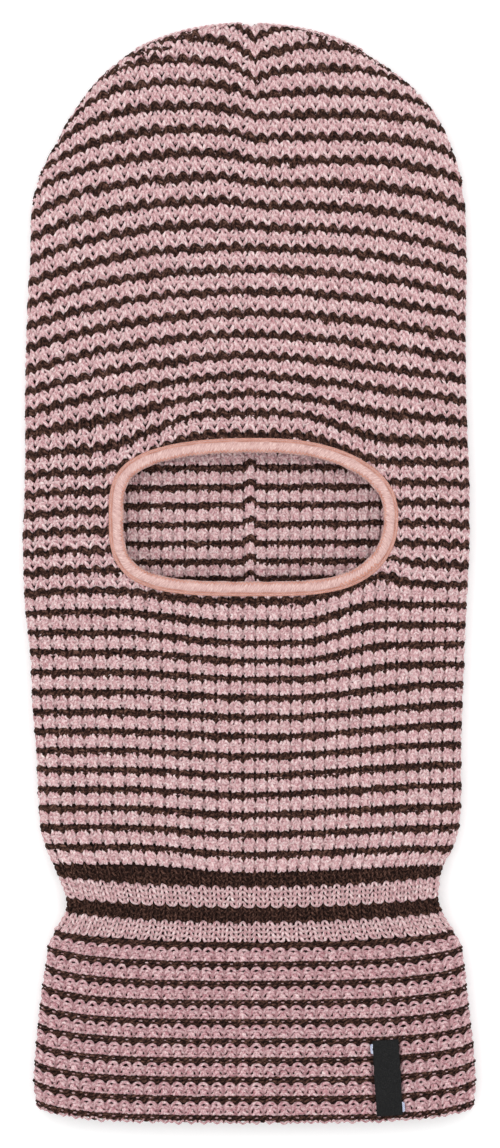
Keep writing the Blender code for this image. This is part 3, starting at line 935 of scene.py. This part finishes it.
# Dark browns for the sheet behind the stitches: painted shade for the gaps between them
PAINTED_SHADE = painted_shade_material("knit_painted_shade", srgb(24, 12, 10), srgb(52, 32, 27))
SATIN = satin_material("binding_satin")
THREAD = yarn_material(
    "binding_thread", srgb(182, 110, 92), srgb(220, 156, 136), srgb(242, 198, 180), 2, 0.8, 0.05
)
TACK = yarn_material(
    "tack_thread", srgb(150, 158, 190), srgb(196, 204, 226), srgb(226, 230, 244), 2, 0.9, 0.05
)
LABEL = label_material("label_weave")


# --- pieces ---


def finished(piece, material, slot, body, *nodes):
    """Gives a piece its material, attaches it to its body, or bakes in its place for the neck, and hides
    the nodes it stands for; its slot is not used.
    """
    piece.data.materials.append(material)
    if body == "neck":
        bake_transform(piece)
    else:
        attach(piece, body)
    if nodes:
        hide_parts(*nodes)
    return piece


def yarn_piece(name, runs, random, material, slot, body, *nodes):
    """A finished piece of yarn along runs."""
    return finished(yarn_mesh(name, runs, random), material, slot, body, *nodes)


def head_yarns(layer, word, seed, *nodes):
    """The head's stitches: pink blocks hanging from brown waves, squarer below the opening."""
    random = np.random.default_rng(seed)
    made = []
    for colour, first, last, strands in HEAD_BANDS:
        runs = worked(layer, strands, range(first, last), random)
        name = f"head_{word}_{colour}_{first + 2:02d}"
        made.append(yarn_piece(name, runs, random, YARNS[colour], "head_knit", "head", *nodes))
    return made


def inside_yarns():
    """The back layer's stitches on its inner face, where the eye opening shows them."""
    random = np.random.default_rng(71)
    rows = range(-1, 8)
    pink = worked(HEAD_INSIDE, LOW_BLOCK, rows, random)
    brown = worked(HEAD_INSIDE, LOW_WAVE, rows, random)
    made = []
    for colour, runs in (("pink", pink), ("brown", brown)):
        seen = []
        for run in runs:
            near_eye = inside_eye(run.points[..., 0], run.points[..., 1], INSIDE_MARGIN)
            seen.append(run._replace(kept=in_strands(run.kept & near_eye)))
        name = f"head_inside_{colour}"
        made.append(yarn_piece(name, seen, random, YARNS[colour], "head_knit", "head"))
    return made


def neck_yarns(layer, head_layer, word, seed, *nodes):
    """The neck's rib, in bands of pink and brown courses below the head's last blocks."""
    random = np.random.default_rng(seed)
    pink = [i for i, letter in enumerate(NECK_COURSES) if letter == "p"]
    brown = [i for i, letter in enumerate(NECK_COURSES) if letter == "b"]
    made = []
    for part, colour, over, strands, stripes in (
        ("pink_top", "pink", head_layer, LOW_BLOCK, [38]),
        ("pink", "pink", layer, RIB, pink),
        ("brown", "brown", layer, RIB, brown),
    ):
        runs = worked(over, strands, stripes, random)
        name = f"neck_{word}_{part}"
        made.append(yarn_piece(name, runs, random, YARNS[colour], "neck_rib", "neck", *nodes))
    return made


def collar_yarns(layer, word, seed, *nodes):
    """The collar's stitches, reverse side out, the first stripe of which is treated as one of the neck's
    pieces.
    """
    random = np.random.default_rng(seed)
    last = COLLAR_STRIPES - 1
    hem = ("hem_yarn", "collar", "collar_hem")
    first_knit = ("collar_knit", "neck", *nodes)
    other_knit = ("collar_knit", "collar", *nodes)
    made = []
    for name, material, strands, stripes, goes in (
        (f"collar_{word}_pink_0", PINK_SHADED, COLLAR_BLOCK, [0], first_knit),
        (f"collar_{word}_brown_0", BROWN, COLLAR_BAND, [0], first_knit),
        (f"collar_{word}_pink_1", PINK_SHADED, COLLAR_BLOCK, range(1, last), other_knit),
        (f"collar_{word}_brown_1", BROWN, COLLAR_BAND, range(1, last), other_knit),
        (f"hem_{word}_brown", BROWN, COLLAR_BAND, [last], hem),
        (f"hem_{word}_pink", PINK_SHADED, HEM_EDGE, [last], hem),
    ):
        runs = worked(layer, strands, stripes, random)
        made.append(yarn_piece(name, runs, random, material, *goes))
    return made


def slab(name, outer, inner):
    """A thin closed sheet between two grids of points."""
    mesh = bmesh.new()
    grids = []
    for grid in (outer, inner):
        grids.append([[mesh.verts.new(p) for p in row] for row in grid])
    for rows in grids:
        for above, below in zip(rows, rows[1:]):
            for i in range(len(above) - 1):
                mesh.faces.new((above[i], above[i + 1], below[i + 1], below[i]))
    rims = []
    for rows in grids:
        down = [row[-1] for row in rows[1:-1]]
        up = [row[0] for row in reversed(rows[1:-1])]
        rims.append([*rows[0], *down, *reversed(rows[-1]), *up])
    count = len(rims[0])
    for i in range(count):
        j = (i + 1) % count
        mesh.faces.new((rims[0][i], rims[0][j], rims[1][j], rims[1][i]))
    bmesh.ops.remove_doubles(mesh, verts=mesh.verts, dist=1e-6)
    bmesh.ops.recalc_face_normals(mesh, faces=mesh.faces)
    made = linked_bmesh(name, mesh)
    made.data.shade_smooth()
    return made


def shade_sheet_grid(layer_side, rows, height):
    """Points of a painted-shade sheet, each row given as the rolled-out places it goes through."""
    made = []
    for x, y in rows:
        points, _, _ = lay(x, y, np.full(len(x), height * MM), layer_side)
        made.append(points)
    return made


def head_rows():
    """Rolled-out rows of the head, fanned in the crown."""
    share = np.linspace(-1.0, 1.0, 49)
    fan_y = CROWN_Y - CROWN_DEPTH
    rows = []
    for angle in np.linspace(0.03, math.pi / 2, 18)[:-1]:
        out_x, out_y = math.sin(angle), math.cos(angle)
        reach = float(crown_reach(out_x, out_y)) - INSET + FOLD_SPARE
        rows.append((share * reach * out_x, fan_y + np.abs(share) * reach * out_y + 1e-7))
    for depth in np.linspace(CROWN_DEPTH, HEAD_END, 36):
        half = float(flat_half_width(depth))
        rise = HEAD_END_RISE * smoothstep(0.28, HEAD_END, depth) * share**2
        rows.append((share * half, CROWN_Y - depth + rise))
    return rows


def field_rows(layer, start, end, steps):
    """Rolled-out rows of the neck or collar, between two of its courses."""
    share = np.linspace(-1.0, 1.0, 45)
    rows = []
    for stripe in np.linspace(start, end, steps):
        at = np.full(len(share), stripe)
        half = flat_half_width(layer.edge_of(at, share) * MM)
        x = share * half
        rows.append((x, CROWN_Y - layer.depth_of(at, x / MM) * MM))
    return rows


def cut_eye_hole(sheet):
    """Takes the eye opening out of the front's painted-shade sheet."""
    mesh = bmesh.new()
    turns = np.linspace(0, 2 * math.pi, 96, endpoint=False)
    x, y = eye_outline(turns, -SHADE_SHEET_PAST_EDGE)
    bottom = mesh.faces.new([mesh.verts.new((a, b, MIDDLE)) for a, b in zip(x, y)])
    grown = bmesh.ops.extrude_face_region(mesh, geom=[bottom])
    top = [v for v in grown["geom"] if isinstance(v, bmesh.types.BMVert)]
    bmesh.ops.translate(mesh, verts=top, vec=(0, 0, THICKNESS))
    bmesh.ops.recalc_face_normals(mesh, faces=mesh.faces)
    cutter = linked_bmesh("eye_cutter", mesh)
    modifier = sheet.modifiers.new("eye", "BOOLEAN")
    modifier.operation = "DIFFERENCE"
    modifier.solver = "EXACT"
    modifier.object = cutter
    depsgraph = bpy.context.evaluated_depsgraph_get()
    cut_data = bpy.data.meshes.new_from_object(sheet.evaluated_get(depsgraph))
    sheet.modifiers.clear()
    sheet.data = cut_data
    bpy.data.objects.remove(cutter, do_unlink=True)


def make_shade_sheet(name, layer, rows, slot, body, eye=False):
    """The painted shade behind one layer's stitches: a thin dark sheet that they are worked round."""
    outer = shade_sheet_grid(layer.side, rows, SHADE_SHEET_OUTER)
    inner = shade_sheet_grid(layer.side, rows, SHADE_SHEET_INNER)
    sheet = slab(name, outer, inner)
    if eye:
        cut_eye_hole(sheet)
    finished(sheet, PAINTED_SHADE, slot, body)
    return sheet


def spine(node, start, end, body, seed, height=SEAM_RISE, x=0.0, side=-1):
    """A linked seam down a layer between two depths: two yarns passing round each other."""
    random = np.random.default_rng(seed)
    length = end - start
    count = int(length / 0.0011)
    s = np.linspace(0.0, 1.0, count)
    depth = start + length * s
    turn = 2 * math.pi * length * s / SEAM_TURN
    runs = []
    for phase in (0.0, math.pi):
        across = x + SEAM_SWAY * np.sin(turn + phase)
        out = (height + SEAM_RISE * np.cos(turn + phase)) * MM
        points, normals, inward = lay(across[None], CROWN_Y - depth[None], out[None], side)
        radius = np.full((1, count), SEAM_RADIUS * MM)
        runs.append(Run(points, normals, radius, inward > -1))
    return yarn_piece(node + "_yarn", runs, random, PINK, "seam_yarn", body, node)


def crown_edge_seams():
    """The linked seams along both sides of the crown's fold."""
    made = []
    for name, way in (("crown_dart_left", -1), ("crown_dart_right", 1)):
        random = np.random.default_rng(8 + way)
        share = np.linspace(*EDGE_SEAM_ENDS, 90)
        angle = share * math.pi / 2
        x = CROWN_WIDTH * np.sin(angle) ** (2 / CROWN_POWER)
        y = CROWN_Y - CROWN_DEPTH * (1 - np.cos(angle) ** (2 / CROWN_POWER))
        middle = CROWN_Y - CROWN_DEPTH
        reach = np.hypot(x, y - middle)
        inward = (EDGE_SEAM_INSET - outline_extra(way * x, CROWN_Y - y)) / reach
        wander = EDGE_SEAM_SWAY / reach
        runs = []
        for phase in (0.0, math.pi):
            turn = 2 * math.pi * share / EDGE_SEAM_TURN + phase
            shift = inward + wander * np.sin(turn)
            height = MIDDLE + EDGE_SEAM_RISE * np.cos(turn)
            points = np.stack([way * x * (1 - shift), y - (y - middle) * shift, height], axis=-1)
            runs.append(upright_run(points, EDGE_SEAM_RADIUS * MM))
        made.append(yarn_piece(name + "_yarn", runs, random, PINK, "seam_yarn", "head", name))
    return made


def eye_path(step):
    """Places evenly spaced round the eye opening, and the outward direction at each."""
    turns = np.linspace(0, 2 * math.pi, 2001)
    x, y = eye_outline(turns, 0.0)
    along = np.concatenate([[0], np.cumsum(np.hypot(np.diff(x), np.diff(y)))])
    count = int(along[-1] / step)
    s = np.arange(count) * along[-1] / count
    px, py = np.interp(s, along, x), np.interp(s, along, y)
    ahead_x, ahead_y = np.interp(s + 1e-4, along, x), np.interp(s + 1e-4, along, y)
    dx, dy = ahead_x - px, ahead_y - py
    size = np.hypot(dx, dy)
    return np.stack([px, py], -1), np.stack([dy / size, -dx / size], -1)


def eye_run(places, outs, offsets, heights, radius):
    """A line of thread round the opening, from how far out and up each point of it is."""
    offsets, heights = (np.broadcast_to(value, len(places)) for value in (offsets, heights))
    return upright_run(np.column_stack([places + outs * offsets[:, None], heights]), radius)


def on_round(outward, height, radius, above):
    """Height of something lying on a round roll, a little above it."""
    inside = np.minimum(np.abs(outward) / radius, 1.0)
    return height + radius * np.sqrt(1 - inside**2) + above


def make_binding():
    """The padded roll round the eye opening, and the lip outside it that is sewn to the knit."""
    random = np.random.default_rng(5)
    places, outs = eye_path(0.0012)
    count = len(places)
    s = np.arange(count) / count * 2 * math.pi
    ripple = 0.04 * np.sin(23 * s) + 0.03 * np.sin(41 * s + 1.0)
    roll = eye_run(places, outs, 0.0, BINDING_HEIGHT, BINDING_RADIUS)
    roll = roll._replace(radius=BINDING_RADIUS * (1 + ripple[None]))
    lip = eye_run(places, outs, LIP_OUT, LIP_HEIGHT, LIP_RADIUS)
    piece = yarn_mesh("eye_binding_roll", [roll, lip], random, sides=18, closed=True)
    finished(piece, SATIN, "binding_satin", "head", "eye_binding")
    return piece


def saw_tooth(word, pitch, bands, radius, seed):
    """Closed lines of slanting stitches, each between two distances from the roll's middle."""
    random = np.random.default_rng(seed)
    places, outs = eye_path(pitch / 4)
    count = len(places) // 4 * 4
    places, outs = places[:count], outs[:count]
    phase = np.arange(count) % 4
    runs = []
    for near, far in bands:
        across = np.choose(phase, (0.0, 0.5, 1.0, 0.45)) + random.normal(0, 0.05, count)
        offsets = near + (far - near) * across
        on_roll = on_round(offsets, BINDING_HEIGHT, BINDING_RADIUS, radius / 2)
        on_lip = on_round(offsets - LIP_OUT, LIP_HEIGHT, LIP_RADIUS, radius / 2)
        heights = np.maximum(on_roll, on_lip)
        runs.append(eye_run(places, outs, offsets, heights, radius))
    piece = yarn_mesh(f"{word}_stitches", runs, random, sides=5, closed=True)
    return finished(piece, THREAD, "binding_thread", "head", f"binding_stitches_{word}")


def make_join():
    """The close stitches that hold the binding's overlapped ends."""
    random = np.random.default_rng(12)
    places, outs = eye_path(JOIN_RADIUS)
    join_x, join_y = eye_outline(np.array([JOIN_ANGLE]), 0.0)
    nearest = np.argmin(np.hypot(places[:, 0] - join_x, places[:, 1] - join_y))
    chosen = (nearest + np.arange(-JOIN_STEPS, JOIN_STEPS + 1)) % len(places)
    places, outs = places[chosen], outs[chosen]
    phase = np.arange(len(places)) % 8
    across = np.abs(phase - 4) / 4
    offsets = JOIN_NEAR + JOIN_REACH * across + random.normal(0, 0.0001, len(places))
    heights = on_round(offsets, BINDING_HEIGHT, BINDING_RADIUS, 0.00015)
    run = eye_run(places, outs, offsets, heights, JOIN_RADIUS)
    piece = yarn_mesh("binding_join_stitches", [run], random, sides=5)
    return finished(piece, THREAD, "binding_satin", "head", "binding_join")


def label_point(across, down, height):
    """A point on the label, from its own width and length."""
    cosine, sine = math.cos(LABEL_TURN), math.sin(LABEL_TURN)
    x = LABEL_X + across * cosine - down * sine
    y = CROWN_Y - LABEL_DEPTH + across * sine + down * cosine
    return x, y, height


def make_label():
    """The woven label, lying over the collar's stitches, its lettering left out."""
    random = np.random.default_rng(31)
    width, length = LABEL_SIZE
    across = np.linspace(-0.5, 0.5, 17)
    down = np.linspace(-0.5, 0.5, 45)
    frayed = random.normal(0, 0.00010, (2, 45))
    grids = []
    for height in (LABEL_TOP, LABEL_TOP - LABEL_THICK):
        rows = []
        for j, t in enumerate(down):
            edge = np.interp(across, (-0.5, 0.5), (frayed[0, j], frayed[1, j]))
            wave = 0.00012 * np.sin(34 * t + 9 * across) + 0.00008 * np.sin(21 * t)
            places = zip(across * width + edge, wave)
            rows.append([label_point(a, t * length, height + w) for a, w in places])
        grids.append(rows)
    piece = slab("woven_label_sheet", grids[0], grids[1])
    finished(piece, LABEL, "label_weave", "collar", "woven_label")
    return piece


def make_tack(node, across, down, seed):
    """Two short upright stitches that hold an edge of the label."""
    random = np.random.default_rng(seed)
    way = math.copysign(1.0, across)
    runs = []
    for outward, length in TACK_STITCHES:
        ends = [(outward, -length / 2), (outward + 0.0001, 0.0), (outward, length / 2)]
        path = [label_point(across + way * a, down + b, LABEL_TOP - 0.6 * a) for a, b in ends]
        runs.append(upright_run(rounded(np.array(path), 9), TACK_RADIUS * MM))
    return yarn_piece(node + "_thread", runs, random, TACK, "tack_thread", "collar", node)


def make_head():
    """The two layers of the head, with their seams."""
    front = head_yarns(HEAD_FRONT, "front", 11, "head_front")
    back = head_yarns(HEAD_BACK, "back", 12, "head_back_left", "head_back_right")
    back += inside_yarns()
    front.append(
        spine("crown_dart_front", 0.005, 0.037, "head", 21, height=-0.4, x=DART_X * MM, side=1)
    )
    front += crown_edge_seams()
    back.append(spine("head_back_seam", 0.005, 0.3468, "head", 22))
    for word, layer, pieces in (("front", HEAD_FRONT, front), ("back", HEAD_BACK, back)):
        # The dark sheet behind this layer's stitches, painted shade
        name = f"head_{word}_shadow_sheet"
        eye = layer is HEAD_FRONT
        make_shade_sheet(name, layer, head_rows(), "head_knit", "head", eye)


def make_neck():
    """The two layers of the neck, with the seam of the back one."""
    front = neck_yarns(NECK_FRONT, HEAD_FRONT, "front", 13, "neck_rib_front")
    back = neck_yarns(NECK_BACK, HEAD_BACK, "back", 14, "neck_rib_back_left", "neck_rib_back_right")
    back.append(spine("neck_back_seam", 0.3475, 0.3875, "neck", 23))
    for word, layer, pieces in (("front", NECK_FRONT, front), ("back", NECK_BACK, back)):
        rows = field_rows(layer, -1.2, NECK_END, 22)
        # The dark sheet behind this layer's stitches, painted shade
        make_shade_sheet(f"neck_{word}_shadow_sheet", layer, rows, "neck_rib", "neck")


def make_collar():
    """The two layers of the collar, with the seam of the back one and the label."""
    front = collar_yarns(COLLAR_FRONT, "front", 15, "collar_front")
    back = collar_yarns(COLLAR_BACK, "back", 16, "collar_back_left", "collar_back_right")
    back.append(spine("collar_back_seam", 0.3885, 0.4615, "collar", 24))
    front.append(make_label())
    front.append(make_tack("label_tack_upper", -LABEL_SIZE[0] / 2, TACK_DOWN, 41))
    front.append(make_tack("label_tack_lower", LABEL_SIZE[0] / 2, -TACK_DOWN, 42))
    for word, layer, pieces in (("front", COLLAR_FRONT, front), ("back", COLLAR_BACK, back)):
        rows = field_rows(layer, -0.15, COLLAR_END, 30)
        # The dark sheet behind this layer's stitches, painted shade
        make_shade_sheet(f"collar_{word}_shadow_sheet", layer, rows, "collar_knit", "neck")


# --- studio ---


# The length that the picture takes in from top to bottom
VIEW_LENGTH = 0.4822


def make_camera():
    """Straight above the garment, through a long lens."""
    height = 2.0
    data = bpy.data.cameras.new("camera")
    data.sensor_width = 36.0
    data.lens = height * data.sensor_width / VIEW_LENGTH
    data.clip_end = 10.0
    camera = linked("camera", data)
    camera.location = (0.0002, 0.0017, height + THICKNESS)
    bpy.context.scene.camera = camera


def make_light():
    """Even studio light from all round, with a soft key from the upper left."""
    world = bpy.data.worlds.new("studio")
    world.use_nodes = True
    background = world.node_tree.nodes["Background"]
    background.inputs["Color"].default_value = (1, 1, 1, 1)
    background.inputs["Strength"].default_value = 0.96
    bpy.context.scene.world = world
    data = bpy.data.lights.new("key", "AREA")
    data.shape = "RECTANGLE"
    data.size = 1.6
    data.size_y = 1.2
    data.energy = 7.4
    key = linked("key", data)
    key.location = (-0.15, 0.25, 1.3)
    key.rotation_euler = (math.radians(-11), math.radians(-7), 0)
    bpy.context.scene.view_settings.view_transform = "Standard"


def make_floor():
    """The pale surface that the garment lies on."""
    mesh = bmesh.new()
    bmesh.ops.create_grid(mesh, x_segments=1, y_segments=1, size=3.0)
    floor = linked_bmesh("floor", mesh)
    floor.location.z = -0.0005
    floor.data.materials.append(floor_material())


make_camera()
make_light()
make_floor()
make_head()
make_neck()
make_collar()
make_binding()
saw_tooth("outer", 0.0008, ((0.0020, 0.0026), (0.0029, 0.0035)), radius=0.00017, seed=51)
saw_tooth("inner", 0.0016, ((-0.0024, -0.0014),), radius=0.00020, seed=52)
make_join()
